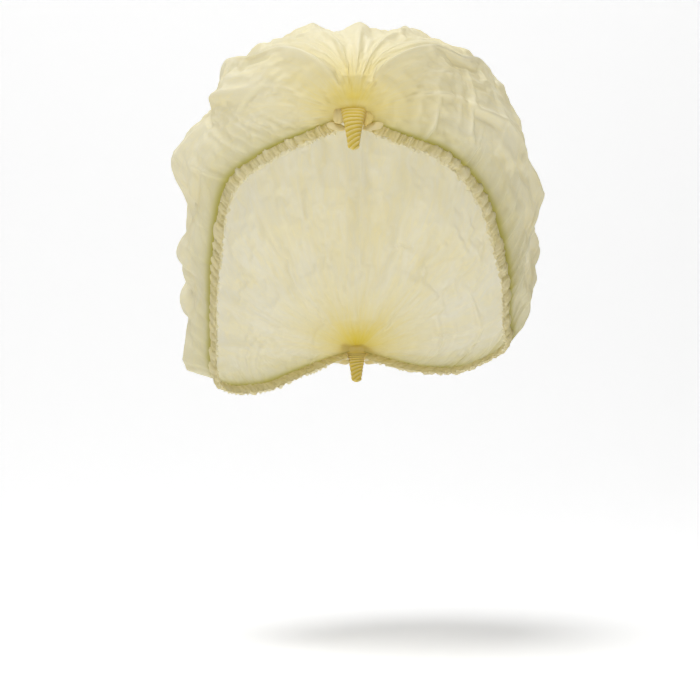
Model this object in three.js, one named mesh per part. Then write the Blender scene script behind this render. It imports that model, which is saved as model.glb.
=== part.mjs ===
// Disposable hair cover cap: one sheet of thin non-woven cloth, pleated lengthwise, gathered into a small
// welded tab at the front and at the back, and drawn in along both sides by a ruffled elastic hem. It has the
// form that it takes on a head, and it is hollow and open below for that head.
// Millimetres, +Z up, the front towards -Y. The origin is inside the top of the crown, where a head carries
// it.
import * as THREE from "three";

// Overall sizes of the crown
const crownWidth = 190; // between the two sides, before the puffs
const crownDepth = 208; // front to back
const crownDrop = 186; // from the seat inside the top down to the lowest rim
const clothWall = 1.2;
const sideBulge = 18; // how far the cloth stands out sideways past the rim below it
const pleatDepth = 5; // how deep the valleys between the long pleats sag
const gatherDepth = 1.2; // the short folds that the elastic draws in
const puffHeight = 9; // the height of a full puff of loose cloth
const lobeHeight = 6; // the two lobes that billow forward beside the front tab

// Ruffled elastic hems and their clearance from the cloth and the tabs
const hemHeight = 5.4;
const hemThickness = 2.6;
const rufflePitch = 6.6;
const ruffleDepth = 0.9; // how far a ruffle stands out past the pinches beside it
const pinchedHeight = 0.8; // height of the hem between ruffles, as a share of hemHeight
const pinchedThickness = 0.75; // and its thickness, as a share of hemThickness
const hemStart = 0.02; // where the hem starts beside a tab, as a share of the way along the rim
const seamGap = 0.3;

// Welded pleat tabs
const tabLength = 20;
const tabWidth = 12;
const tabThickness = 6;
const tabPleats = 9; // stacked pleats that show as ribs across a tab
const tabPleatDepth = 0.5;
const tabNarrowing = 0.6; // share of its width that a tab loses towards its tip
const tabThinning = 0.5; // share of its thickness that it loses
const tabBend = 0.3; // where it bends down, as a share of its length

// Fineness of the facets
const sectionCount = 68; // steps of the crown from front to back
const gatherCount = sectionCount / 2; // short folds along each rim, each two steps long
const hemCorners = 6; // corners of a hem's section
const tabCorners = 8; // corners of a tab's section
const archFullness = 2.12; // exponent of the arch: 2 is an ellipse, more is squarer
const waistShare = 0.32; // height of the widest point of an arch, as a share of the arch
const probe = 0.002; // the small step that measures a direction on the cloth

// Rows of numbers as records with named columns.
function table(columns, rows) {
  return rows.map((row) => Object.fromEntries(row.map((value, i) => [columns[i], value])));
}

// Arches of the crown from the front tab to the rear tab. Columns in Y are shares of crownDepth and columns
// in Z of crownDrop. X is a share of the way from the side of a tab to half of crownWidth, and bulge is a
// share of sideBulge. Left is at -X.
const sections = table(
  ["along", "apexY", "apexZ", "leftX", "leftY", "leftZ", "rightX", "rightY", "rightZ", "bulge"],
  [
    [0, -0.447, -0.25, 0, -0.425, -0.283, 0, -0.425, -0.283, 0.03],
    [0.06, -0.472, -0.165, 0.224, -0.409, -0.32, 0.2, -0.413, -0.323, 0.18],
    [0.15, -0.415, -0.055, 0.467, -0.342, -0.365, 0.45, -0.35, -0.368, 0.36],
    [0.27, -0.225, 0.002, 0.692, -0.202, -0.444, 0.675, -0.221, -0.476, 0.62],
    [0.4, 0.01, 0.035, 0.783, -0.087, -0.645, 0.812, -0.087, -0.662, 0.82],
    [0.52, 0.235, 0, 0.805, 0.015, -0.821, 0.838, 0, -0.8, 0.75],
    [0.64, 0.432, -0.15, 0.789, 0.12, -0.98, 0.854, 0.11, -0.876, 0.9],
    [0.76, 0.535, -0.38, 0.55, 0.25, -1, 0.607, 0.25, -0.945, 1.3],
    [0.88, 0.52, -0.63, 0.29, 0.365, -0.955, 0.315, 0.365, -0.945, 1.1],
    [0.95, 0.475, -0.785, 0.113, 0.405, -0.92, 0.113, 0.405, -0.92, 0.5],
    [1, 0.436, -0.873, 0, 0.412, -0.902, 0, 0.412, -0.902, 0.03],
  ],
);

// Ridges of the long pleats, from the left rim at -1 over the top at 0 to the right rim at 1: where each one
// leaves the front tab, and where it runs after that. Each valley runs from its ridge to the next one, its
// depth is a share of pleatDepth, and steps are the facets across it.
const pleats = table(
  ["front", "ridge", "valley", "steps"],
  [
    [-1, -1, 0, 3],
    [-0.8, -0.84, 0.35, 2],
    [-0.55, -0.66, 0.45, 4],
    [-0.16, -0.47, 0.5, 2],
    [-0.11, -0.35, 0.7, 3],
    [-0.04, -0.12, 1.1, 3],
    [0.01, 0.015, 1.3, 3],
    [0.06, 0.165, 0.7, 3],
    [0.11, 0.35, 0.4, 2],
    [0.16, 0.47, 0.5, 4],
    [0.6, 0.75, 0.3, 3],
    [1, 1, 0, 0],
  ],
);

// Puffs and dents of loose cloth. Places and sizes are shares of the way along and across, and height is a
// share of puffHeight.
const puffs = table(
  ["along", "across", "length", "width", "height"],
  [
    [0.35, -0.12, 0.12, 0.05, 0.25],
    [0.38, -0.75, 0.07, 0.08, 1.1],
    [0.46, -0.53, 0.1, 0.07, -1.1],
    [0.44, -0.8, 0.06, 0.045, -1],
    [0.5, -0.82, 0.045, 0.05, 0.9],
    [0.6, -0.83, 0.035, 0.05, 0.4],
    [0.69, -0.87, 0.045, 0.06, 0.8],
    [0.46, 0.47, 0.06, 0.06, -0.2],
    [0.44, 0.62, 0.07, 0.09, 0.2],
    [0.73, -0.35, 0.08, 0.18, 0.5],
    [0.8, 0.3, 0.08, 0.16, 0.5],
  ],
);

// A table's column at any place between its rows, as a smooth curve through them.
function column(rows, name, along) {
  let i = 0;
  while (i < rows.length - 2 && along > rows[i + 1].along) i += 1;
  const from = rows[i];
  const to = rows[i + 1];
  const before = rows[Math.max(i - 1, 0)];
  const after = rows[Math.min(i + 2, rows.length - 1)];
  const span = to.along - from.along;
  const t = (along - from.along) / span;
  const startSlope = ((to[name] - before[name]) / (to.along - before.along)) * span;
  const endSlope = ((after[name] - from[name]) / (after.along - from.along)) * span;
  const rise = to[name] - from[name];
  const square = 3 * rise - 2 * startSlope - endSlope;
  const cube = startSlope + endSlope - 2 * rise;
  return from[name] + t * (startSlope + t * (square + t * cube));
}

// The share of the way from low to high, eased at both ends.
function smooth(value, low, high) {
  return THREE.MathUtils.smoothstep(value, low, high);
}

// The top of the arch.
function apexPoint(along) {
  const y = column(sections, "apexY", along) * crownDepth;
  return new THREE.Vector3(0, y, column(sections, "apexZ", along) * crownDrop);
}

// The foot of the arch: side is -1 for the left rim and 1 for the right one.
function rimPoint(along, side) {
  const name = side < 0 ? "left" : "right";
  return new THREE.Vector3(
    side * THREE.MathUtils.lerp(tabWidth / 2, crownWidth / 2, column(sections, name + "X", along)),
    column(sections, name + "Y", along) * crownDepth,
    column(sections, name + "Z", along) * crownDrop,
  );
}

// The smooth form of the crown: at each place along it, a full arch from one rim over the apex to the other,
// widest at its waist and drawn in below that to the rim.
function archPoint(along, across) {
  const side = across < 0 ? -1 : 1;
  const rim = rimPoint(along, side);
  const apex = apexPoint(along);
  const rise = apex.clone().sub(rim).setX(0);
  const height = rise.length();
  rise.normalize();
  const width = Math.abs(rim.x) + column(sections, "bulge", along) * sideBulge;
  const waist = waistShare * height;
  const tuck = Math.acos(Math.abs(rim.x) / width);
  const belowWaist = waist / Math.sin(tuck);
  const upperLength = Math.hypot(width, height - waist) * 1.2;
  const lowerLength = Math.hypot(width - Math.abs(rim.x), waist);
  const waistAcross = upperLength / (upperLength + lowerLength);
  const reach = Math.abs(across);
  let out;
  let up;
  if (reach < waistAcross) {
    const turn = ((reach / waistAcross) * Math.PI) / 2;
    out = width * Math.sin(turn) ** (2 / archFullness);
    up = waist + (height - waist) * Math.max(Math.cos(turn), 0) ** (2 / archFullness);
  } else {
    const turn = ((reach - waistAcross) / (1 - waistAcross)) * tuck;
    out = width * Math.cos(turn);
    up = waist - belowWaist * Math.sin(turn);
  }
  return rim.setX(side * out).addScaledVector(rise, up);
}

// Where a ridge runs across the crown: close to its neighbours at the front tab, then fanned out.
function ridgeAcross(pleat, along) {
  return THREE.MathUtils.lerp(pleat.front, pleat.ridge, smooth(along, 0.03, 0.2));
}

// How far the valleys between the pleats sag. They fade out where the cloth runs into the tabs.
function pleatSag(along, across) {
  let i = 0;
  while (i < pleats.length - 2 && across > ridgeAcross(pleats[i + 1], along)) i += 1;
  const from = ridgeAcross(pleats[i], along);
  const to = ridgeAcross(pleats[i + 1], along);
  const t = Math.min(Math.max((across - from) / (to - from), 0), 1);
  const fade = smooth(along, 0.02, 0.2) * (1 - smooth(along, 0.82, 0.99));
  return pleats[i].valley * pleatDepth * Math.sin(Math.PI * t) * fade;
}

// The lobes: each rises steeply at its crest, the fourth ridge from the rim, and slopes off towards the rim.
function lobeRise(along, across) {
  const crest = Math.abs(ridgeAcross(pleats[3], along));
  const away = Math.abs(across) - crest;
  const spread = away < 0 ? 0.03 : 0.28;
  const fade = smooth(along, 0.02, 0.08) * (1 - smooth(along, 0.2, 0.36));
  return lobeHeight * Math.exp(-((away / spread) ** 2)) * fade;
}

// The height of all puffs and dents at a place: each is a bell over its own spot.
function puffRise(along, across) {
  const heights = puffs.map((puff) => {
    const lengthwise = (along - puff.along) / puff.length;
    const crosswise = (across - puff.across) / puff.width;
    return puff.height * Math.exp(-(lengthwise ** 2) - crosswise ** 2);
  });
  const rise = heights.reduce((sum, height) => sum + height, 0);
  const fade = smooth(along, 0, 0.06) * (1 - smooth(along, 0.94, 1)) * (1 - smooth(Math.abs(across), 0.9, 1));
  return rise * puffHeight * fade;
}

// Length of a rim, measured along it.
function rimLength(side) {
  const points = Array.from({ length: 101 }, (_, i) => rimPoint(i / 100, side));
  return points.slice(1).reduce((sum, p, i) => sum + p.distanceTo(points[i]), 0);
}

// The gathers stand at right angles to the elastic. They start just above the hem and fade out up the cloth.
function gatherRise(along, across) {
  const reach = Math.abs(across);
  const window = smooth(reach, 0.7, 0.9) * (1 - smooth(reach, 0.95, 1));
  const fade = smooth(along, 0.02, 0.12) * (1 - smooth(along, 0.88, 0.98));
  return gatherDepth * Math.cos(2 * Math.PI * gatherCount * along) * window * fade;
}

// The outward direction of a surface function at a place on it.
function outward(surface, along, across) {
  const low = Math.max(along - probe, 0);
  const high = Math.min(along + probe, 1);
  const left = Math.max(across - probe, -1);
  const right = Math.min(across + probe, 1);
  const lengthwise = surface(high, across).sub(surface(low, across));
  const crosswise = surface(along, right).sub(surface(along, left));
  return crosswise.cross(lengthwise).normalize();
}

// The outer face of the cloth.
function outerPoint(along, across) {
  const rise = lobeRise(along, across) + puffRise(along, across) + gatherRise(along, across);
  const lift = rise - pleatSag(along, across);
  return archPoint(along, across).addScaledVector(outward(archPoint, along, across), lift);
}

// One closed body through rings of points. Each ring goes round the section, and endFaces lists the triangles
// that close the first ring, by the points' places in it.
function bodyThrough(rings, endFaces) {
  const size = rings[0].length;
  const positions = rings.flat().flatMap((p) => [p.x, p.y, p.z]);
  const faces = endFaces.map(([a, b, c]) => [a, c, b]);
  for (let i = 0; i < rings.length - 1; i += 1) {
    for (let j = 0; j < size; j += 1) {
      const here = i * size + j;
      const next = i * size + ((j + 1) % size);
      faces.push([here, next, next + size], [here, next + size, here + size]);
    }
  }
  const last = (rings.length - 1) * size;
  endFaces.forEach(([a, b, c]) => faces.push([a + last, b + last, c + last]));
  const geometry = new THREE.BufferGeometry();
  geometry.setAttribute("position", new THREE.Float32BufferAttribute(positions, 3));
  geometry.setIndex(faces.flat());
  geometry.computeVertexNormals();
  return geometry;
}

// Triangles that close a round or square ring, as a fan from its first point.
function fanFaces(size) {
  return Array.from({ length: size - 2 }, (_, i) => [0, i + 1, i + 2]);
}

// Triangles that close the thin end of a wall whose ring runs out over its outer side and back over its
// inner.
function wallFaces(size) {
  const half = size / 2;
  return Array.from({ length: half - 1 }, (_, i) => [
    [i, i + 1, size - 2 - i],
    [i, size - 2 - i, size - 1 - i],
  ]).flat();
}

// Places across the crown at one section: a few steps from each ridge to the next.
function crownColumns(along) {
  const ridges = pleats.map((pleat) => ridgeAcross(pleat, along));
  const columns = pleats.slice(0, -1).flatMap(({ steps }, i) =>
    Array.from({ length: steps }, (_, k) => THREE.MathUtils.lerp(ridges[i], ridges[i + 1], k / steps)),
  );
  return [...columns, 1];
}

// The crown is a shell: the outer face, and an inner face one wall further in.
function crownGeometry() {
  const rings = Array.from({ length: sectionCount + 1 }, (_, i) => {
    const along = i / sectionCount;
    const columns = crownColumns(along);
    const outer = columns.map((across) => outerPoint(along, across));
    const inner = columns.map((across, k) =>
      outer[k].clone().addScaledVector(outward(outerPoint, along, across), -clothWall),
    );
    return [...outer, ...inner.reverse()];
  });
  return bodyThrough(rings, wallFaces(rings[0].length));
}

// The hem is a flat tube along the rim, just below the cloth's edge and in line with it. Every second ring is
// drawn in by the elastic, and the rings between stand out as the ruffles.
function hemGeometry(side) {
  const ruffles = Math.round(rimLength(side) / rufflePitch);
  const rings = Array.from({ length: 2 * ruffles + 1 }, (_, i) => {
    const along = THREE.MathUtils.lerp(hemStart, 1 - hemStart, i / (2 * ruffles));
    const rim = archPoint(along, side);
    const out = outward(archPoint, along, side);
    const down = rim.clone().sub(archPoint(along, side * (1 - probe))).normalize();
    const puffed = i % 2 === 1 ? 1 : 0;
    const halfHeight = (hemHeight / 2) * (puffed ? 1 : pinchedHeight);
    const halfThickness = (hemThickness / 2) * (puffed ? 1 : pinchedThickness);
    const middle = rim
      .addScaledVector(down, seamGap + hemHeight / 2)
      .addScaledVector(out, ruffleDepth * (puffed - 0.5) - clothWall / 2);
    return Array.from({ length: hemCorners }, (_, k) => {
      const turn = (-side * 2 * Math.PI * k) / hemCorners;
      return middle
        .clone()
        .addScaledVector(down, halfHeight * Math.cos(turn))
        .addScaledVector(out, halfThickness * Math.sin(turn));
    });
  });
  return bodyThrough(rings, fanFaces(hemCorners));
}

// A tab is the welded end of the pleated strip. It leaves the gathered cloth in line with it, bends down and
// narrows to its tip, and each pleat shows as a rib across it.
function tabGeometry(along, hang) {
  const apex = apexPoint(along);
  const rim = rimPoint(along, 1).setX(0);
  const height = apex.clone().sub(rim);
  const inward = along < 0.5 ? 1 : -1;
  const leave = new THREE.Vector3(inward, 0, 0).cross(height).normalize();
  const root = apex.clone().add(rim).divideScalar(2).addScaledVector(leave, seamGap);
  const path = new THREE.QuadraticBezierCurve3(
    root,
    root.clone().addScaledVector(leave, tabLength * tabBend),
    root.clone().addScaledVector(leave, tabLength * tabBend).addScaledVector(hang, tabLength * (1 - tabBend)),
  );
  const rings = Array.from({ length: 2 * tabPleats + 1 }, (_, i) => {
    const t = i / (2 * tabPleats);
    const direction = t === 0 ? leave : path.getTangent(t);
    const thickness = direction.clone().cross(new THREE.Vector3(1, 0, 0)).normalize();
    const rib = i % 2 === 1 ? tabPleatDepth : 0;
    const halfWidth = (tabWidth / 2) * (1 - tabNarrowing * t) + rib;
    const halfThickness = (tabThickness / 2) * (1 - tabThinning * t) + rib;
    return Array.from({ length: tabCorners }, (_, k) => {
      const turn = ((k + 0.5) * 2 * Math.PI) / tabCorners;
      return path
        .getPoint(t)
        .addScaledVector(thickness, halfThickness * Math.sin(turn))
        .add(new THREE.Vector3(halfWidth * Math.cos(turn), 0, 0));
    });
  });
  return bodyThrough(rings, fanFaces(tabCorners));
}

const cloth = new THREE.MeshStandardMaterial({ color: 0xeee6b4, roughness: 0.85, metalness: 0, side: THREE.DoubleSide });
const hem = new THREE.MeshStandardMaterial({ color: 0xe3d892, roughness: 0.85, metalness: 0 });
const weld = new THREE.MeshStandardMaterial({ color: 0xdcbf57, roughness: 0.6, metalness: 0 });

const pieces = [
  { name: "crown", geometry: crownGeometry(), material: cloth },
  { name: "hem_left", geometry: hemGeometry(-1), material: hem },
  { name: "hem_right", geometry: hemGeometry(1), material: hem },
  { name: "front_tab", geometry: tabGeometry(0, new THREE.Vector3(0, 0.05, -1)), material: weld },
  { name: "rear_tab", geometry: tabGeometry(1, new THREE.Vector3(0, -0.1, -1)), material: weld },
];

const cap = new THREE.Group();
cap.name = "hair_cover_cap";
pieces.forEach(({ name, geometry, material }) => {
  const mesh = new THREE.Mesh(geometry, material);
  mesh.name = name;
  cap.add(mesh);
});

export default cap;
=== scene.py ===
"""A disposable hair cover cap: one strip of thin pleated cloth, welded into a small tab at each end and
gathered along both sides by a ruffled elastic hem. It is drawn in its worn form, held up where a head
carries it.

Metres, +Z up, the front towards -Y. The cloth is a surface over two shares: along it, from the front tab
(0) to the rear tab (1), and across it, from the left rim (-1) over the top (0) to the right rim (1)."""

from functools import partial

import bpy
import numpy as np
from bpy.props import FloatProperty, FloatVectorProperty, IntProperty, PointerProperty
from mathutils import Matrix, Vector


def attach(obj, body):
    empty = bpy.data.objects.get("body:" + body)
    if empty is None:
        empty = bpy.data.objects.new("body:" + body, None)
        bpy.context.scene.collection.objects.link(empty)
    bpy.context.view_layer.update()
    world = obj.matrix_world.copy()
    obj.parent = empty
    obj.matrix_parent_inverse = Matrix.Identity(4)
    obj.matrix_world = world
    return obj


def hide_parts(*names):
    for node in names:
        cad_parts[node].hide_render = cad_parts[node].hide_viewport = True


bl_info = {
    "name": "Hair Cover Cap",
    "version": (1, 0, 0),
    "blender": (4, 5, 0),
    "location": "3D View > Sidebar > Hair Cap",
    "description": "Builds a pleated disposable hair cover cap around its packed CAD part",
    "category": "Add Mesh",
}

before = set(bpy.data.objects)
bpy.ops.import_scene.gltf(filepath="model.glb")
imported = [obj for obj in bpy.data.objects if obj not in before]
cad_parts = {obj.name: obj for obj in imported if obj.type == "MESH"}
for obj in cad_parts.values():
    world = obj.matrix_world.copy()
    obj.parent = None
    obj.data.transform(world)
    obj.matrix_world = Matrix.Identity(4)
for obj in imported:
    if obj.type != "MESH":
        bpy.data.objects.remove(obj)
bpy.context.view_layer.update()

MM = 0.001


def table(columns, rows):
    """Rows of numbers as a dictionary of named columns."""
    return dict(zip(columns, np.array(rows).T))


# Arches of the crown from the front tab to the rear tab. y columns are shares of the crown's depth and z
# columns of its drop. x is a share of the way from the side of a tab to half of the crown's width, and
# bulge is a share of the side bulge.
SECTIONS = table((
    "along", "apex_y", "apex_z", "left_x", "left_y", "left_z", "right_x", "right_y", "right_z", "bulge",
), [
    (0.00, -0.447, -0.250, 0.000, -0.425, -0.283, 0.000, -0.425, -0.283, 0.03),
    (0.06, -0.472, -0.165, 0.224, -0.409, -0.320, 0.200, -0.413, -0.323, 0.18),
    (0.15, -0.415, -0.055, 0.467, -0.342, -0.365, 0.450, -0.350, -0.368, 0.36),
    (0.27, -0.225, 0.002, 0.692, -0.202, -0.444, 0.675, -0.221, -0.476, 0.62),
    (0.40, 0.010, 0.035, 0.783, -0.087, -0.645, 0.812, -0.087, -0.662, 0.82),
    (0.52, 0.235, 0.000, 0.805, 0.015, -0.821, 0.838, 0.000, -0.800, 0.75),
    (0.64, 0.432, -0.150, 0.789, 0.120, -0.980, 0.854, 0.110, -0.876, 0.90),
    (0.76, 0.535, -0.380, 0.550, 0.250, -1.000, 0.607, 0.250, -0.945, 1.30),
    (0.88, 0.520, -0.630, 0.290, 0.365, -0.955, 0.315, 0.365, -0.945, 1.10),
    (0.95, 0.475, -0.785, 0.113, 0.405, -0.920, 0.113, 0.405, -0.920, 0.50),
    (1.00, 0.436, -0.873, 0.000, 0.412, -0.902, 0.000, 0.412, -0.902, 0.03),
])

# Ridges of the long pleats: where each leaves the front tab, where it runs after that, and how deep the
# valley to the next one is, as a share of the pleat depth.
PLEATS = table(("front", "ridge", "valley"), [
    (-1.00, -1.000, 0.00),
    (-0.80, -0.840, 0.35),
    (-0.55, -0.660, 0.45),
    (-0.16, -0.470, 0.50),
    (-0.11, -0.350, 0.70),
    (-0.04, -0.120, 1.10),
    (0.01, 0.015, 1.30),
    (0.06, 0.165, 0.70),
    (0.11, 0.350, 0.40),
    (0.16, 0.470, 0.50),
    (0.60, 0.750, 0.30),
    (1.00, 1.000, 0.00),
])

# Creases that stand up as thin crests: the strand each follows, how far it leans over on its way along the
# cap, where it starts and ends along it, and its height as a share of the fold depth.
CREASES = table(("strand", "lean", "start", "end", "height"), [
    (-0.660, 0.00, 0.03, 0.42, 1.3),
    (-0.470, 0.00, 0.02, 0.50, 1.6),
    (-0.300, -0.06, 0.04, 0.60, 0.8),
    (-0.120, 0.00, 0.02, 0.80, 1.0),
    (-0.040, -0.05, 0.02, 0.45, 0.3),
    (0.015, 0.00, 0.02, 0.80, 0.2),
    (0.090, 0.04, 0.02, 0.50, 0.3),
    (0.165, 0.00, 0.02, 0.75, 1.0),
    (0.270, 0.05, 0.04, 0.60, 0.8),
    (0.470, 0.00, 0.02, 0.50, 1.6),
    (0.750, 0.00, 0.03, 0.45, 1.5),
    (0.620, 0.06, 0.06, 0.50, 0.7),
    (-0.560, -0.05, 0.08, 0.40, 0.7),
    (-0.760, 0.10, 0.25, 0.48, 1.2),
    (0.300, 0.10, 0.55, 0.95, 0.9),
    (-0.250, -0.12, 0.55, 0.95, 0.9),
])

# Puffs and dents of loose cloth. Places and sizes are shares of the way along and across, and the height
# is a share of the puff height.
PUFFS = table(("along", "across", "length", "width", "height"), [
    (0.35, -0.12, 0.120, 0.050, 0.25),
    (0.38, -0.75, 0.070, 0.080, 1.1),
    (0.46, -0.53, 0.100, 0.070, -1.1),
    (0.44, -0.80, 0.060, 0.045, -1.0),
    (0.50, -0.82, 0.045, 0.050, 0.9),
    (0.60, -0.83, 0.035, 0.050, 0.4),
    (0.69, -0.87, 0.045, 0.060, 0.8),
    (0.46, 0.47, 0.060, 0.060, -0.2),
    (0.44, 0.62, 0.070, 0.090, 0.2),
    (0.73, -0.35, 0.080, 0.180, 0.5),
    (0.80, 0.30, 0.080, 0.160, 0.5),
    (0.34, 0.00, 0.100, 0.060, -0.6),
    (0.25, -0.45, 0.090, 0.090, -0.5),
    (0.25, 0.47, 0.090, 0.070, -0.6),
    (0.30, -0.64, 0.050, 0.060, -0.8),
    (0.41, -0.82, 0.030, 0.040, -0.7),
    (0.67, -0.93, 0.050, 0.060, 1.0),
    (0.525, -0.83, 0.010, 0.080, -0.4),
    (0.572, -0.81, 0.011, 0.080, -0.7),
    (0.628, -0.84, 0.013, 0.080, -0.6),
    (0.645, 0.80, 0.012, 0.080, -0.4),
    (0.600, 0.77, 0.010, 0.080, -0.3),
])

# The crown
ARCH_FULLNESS = 2.12  # exponent of the arch: 2 is an ellipse, more is squarer
WAIST_SHARE = 0.32  # height of the widest point of an arch, as a share of the arch
ARC_EXCESS = 1.2  # how much longer an arch is than the straight way to its widest point
MID_LENGTH = 387 * MM  # of the cloth over the top, from tab to tab, about
MID_WIDTH = 380 * MM  # the scale of patterns across the cloth, which with its folds is up to 462 mm wide
RIM_LENGTH = 300 * MM  # of each rim, from tab to tab, roughly
LOBE_RIDGE = 3  # the row of PLEATS that the lobes beside the front tab have as their crest
CREASE_WIDTH = 2.2 * MM  # half the width of a crease's crest
# The crests of creases get a painted highlight in the crest colour: this says how much
CREASE_HIGHLIGHT = 0.5  # how pale that crest is
GATHER_WIDTH = 0.16  # half the width of a gather's crest, as a share of the pitch
# The crests of gathers get a painted highlight in the crest colour: this says how much
GATHER_HIGHLIGHT = 1.3  # how pale that crest is
DRAWN_SHARE = 0.35  # how far the crown's ends are drawn in to the middle of the tabs
DRAWN_RUN = 0.008  # the share of the way along in which they are drawn in

# The layers of cloth by a tab, which reach further sideways than up
LAYER_SPREAD = (0.75, 1.0, 1.1)
LAYER_REACH = 19 * MM
LAYER_FALL = 1.4

# The hems
HEM_DROP = 2.3 * MM  # from the rim down to the middle of the hem
HEM_INSET = 0.6 * MM  # how far that middle lies inside the rim
HEM_CRINKLE = 0.6 * MM  # height of the small crinkles on the hem

# The tabs
TAB_GAP = 0.3 * MM  # from the middle of the crown's end to a tab's root
TAB_SWAY = 2 * MM  # how far the front end of the cap lies to the left of the middle
TAB_BEND = 0.3  # where a tab bends down, as a share of its length
TAB_HANG = 0.75  # how far it hangs below the bend, as a share of its length
TAB_NARROWING = 0.62  # share of its width that a tab loses towards its tip
TAB_THINNING = 0.5  # share of its thickness that it loses
TAB_RIB = 0.6 * MM  # height of the ribs of its stacked pleats
FOLD_TILT = 0.3  # how far a fold beside a tab leans towards the back as it rises

PROBE = 0.002  # the small step that measures a direction on the cloth
NOISE_CELLS = 61  # the noise repeats after so many cells

# Folded ends of the strip beside a tab: name, shift from the tab's root (x, outward, z), half sizes, lean
# in radians, and layers of cloth
FOLDS = (
    ("left_fold", (-7.0 * MM, 1.2 * MM, -1.6 * MM), (2.9 * MM, 1.0 * MM, 4.2 * MM), 0.15, 0.6),
    ("right_fold", (6.4 * MM, 0.9 * MM, -3.2 * MM), (3.6 * MM, 1.0 * MM, 3.0 * MM), -0.7, 0.85),
    ("left_flap", (-8.6 * MM, 0.0 * MM, -7.0 * MM), (4.6 * MM, 1.0 * MM, 1.9 * MM), 0.25, 0.4),
    ("right_flap", (9.6 * MM, 0.0 * MM, -6.9 * MM), (5.2 * MM, 1.0 * MM, 1.9 * MM), -0.2, 0.4),
)

# The photo's camera: level, near the height of the lowest rims, 371 mm across at 1200 mm away
CAMERA_PLACE = (-0.0037, -1.2, -0.166)
CAMERA_SENSOR = 36.0
CAMERA_LENS = CAMERA_SENSOR * 1200 / 371

# Rows and columns of the grids, and frames of the settling
CROWN_GRID = (420, 228)
SETTLING_GRID = (130, 84)
SETTLING_FRAMES = 22
HEM_GRID = (1600, 28)
FRILL_GRID = (2400, 7)
TAB_GRID = (260, 72)
FOLD_GRID = (60, 64)


class CapSizes(bpy.types.PropertyGroup):
    """The cap's sizes."""

    crown_width: FloatProperty(
        name="Crown width", description="Between the two sides, before the puffs",
        default=190 * MM, unit="LENGTH",
    )
    crown_depth: FloatProperty(
        name="Crown depth", description="From the front of the crown to its back",
        default=208 * MM, unit="LENGTH",
    )
    crown_drop: FloatProperty(
        name="Crown drop", description="From the seat inside the top down to the lowest rim",
        default=186 * MM, unit="LENGTH",
    )
    side_bulge: FloatProperty(
        name="Side bulge", description="How far the cloth stands out past the rim below it",
        default=18 * MM, unit="LENGTH",
    )
    pleat_depth: FloatProperty(
        name="Pleat depth", description="How deep the valleys between the long pleats sag",
        default=5 * MM, unit="LENGTH",
    )
    puff_height: FloatProperty(
        name="Puff height", description="Height of a full puff of loose cloth",
        default=9 * MM, unit="LENGTH",
    )
    lobe_height: FloatProperty(
        name="Lobe height", description="How far the lobes beside the front tab billow out",
        default=6 * MM, unit="LENGTH",
    )
    fold_depth: FloatProperty(
        name="Fold depth", description="Depth of the fine creases that pleating leaves along the cloth",
        default=1.1 * MM, unit="LENGTH",
    )
    fold_count: IntProperty(
        name="Folds", description="Fine creases across the strip", default=24, min=4,
    )
    gather_depth: FloatProperty(
        name="Gather depth", description="Height of the short folds that the elastic draws in",
        default=1.5 * MM, unit="LENGTH",
    )
    gather_pitch: FloatProperty(
        name="Gather pitch", description="From one short fold to the next",
        default=8 * MM, unit="LENGTH",
    )
    crumple_height: FloatProperty(
        name="Crumple height", description="Height of the soft crumples all over the cloth",
        default=1.4 * MM, unit="LENGTH",
    )
    hem_height: FloatProperty(
        name="Hem height", description="Height of the hem across the elastic",
        default=6.2 * MM, unit="LENGTH",
    )
    hem_thickness: FloatProperty(
        name="Hem thickness", description="Thickness of the hem", default=2.8 * MM, unit="LENGTH",
    )
    ruffle_pitch: FloatProperty(
        name="Ruffle pitch", description="From one ruffle of the hem to the next",
        default=5.6 * MM, unit="LENGTH",
    )
    frill_width: FloatProperty(
        name="Frill width", description="Width of the raw edge below the elastic",
        default=2.4 * MM, unit="LENGTH",
    )
    ruffle_depth: FloatProperty(
        name="Ruffle depth", description="How far the ruffles puff out between the stitches",
        default=1.1 * MM, unit="LENGTH",
    )
    tab_width: FloatProperty(
        name="Tab width", description="Width of a welded tab at its root", default=12 * MM, unit="LENGTH",
    )
    tab_thickness: FloatProperty(
        name="Tab thickness", description="Thickness of a welded tab at its root",
        default=6 * MM, unit="LENGTH",
    )
    tab_length: FloatProperty(
        name="Tab length", description="Length of a welded tab", default=20 * MM, unit="LENGTH",
    )
    tab_pleats: IntProperty(
        name="Tab pleats", description="Stacked pleats that show as ribs across a tab", default=11, min=2,
    )


class CapColours(bpy.types.PropertyGroup):
    """The cap's colours, as sRGB."""

    single: FloatVectorProperty(
        name="Single layer", description="One layer of the cloth", subtype="COLOR_GAMMA",
        size=3, default=(0.945, 0.93, 0.855), min=0, max=1,
    )
    stacked: FloatVectorProperty(
        name="Stacked layers", description="Many layers of the cloth on each other", subtype="COLOR_GAMMA",
        size=3, default=(0.92, 0.84, 0.28), min=0, max=1,
    )
    # Painted highlight: the pale colour painted on the crests of folds, gathers, ruffles, frill waves and
    # tab ribs, over the fan behind the front tab and the band above it, and over the small folds beside the
    # tabs
    crest: FloatVectorProperty(
        name="Crest", description="The lit crest of a fold", subtype="COLOR_GAMMA",
        size=3, default=(0.985, 0.975, 0.92), min=0, max=1,
    )
    # Painted shade: the olive painted where the cloth bulges over each hem, in the pinches between the
    # hem's ruffles and in the grooves of the tabs' ribs; on the hems a little of it stands for their own
    # olive
    tuck: FloatVectorProperty(
        name="Tuck", description="The cloth where it tucks in above the hem", subtype="COLOR_GAMMA",
        size=3, default=(0.72, 0.69, 0.27), min=0, max=1,
    )
    stage: FloatVectorProperty(
        name="Stage", description="Floor and backdrop", subtype="COLOR_GAMMA",
        size=3, default=(0.98, 0.98, 0.98), min=0, max=1,
    )


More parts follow.
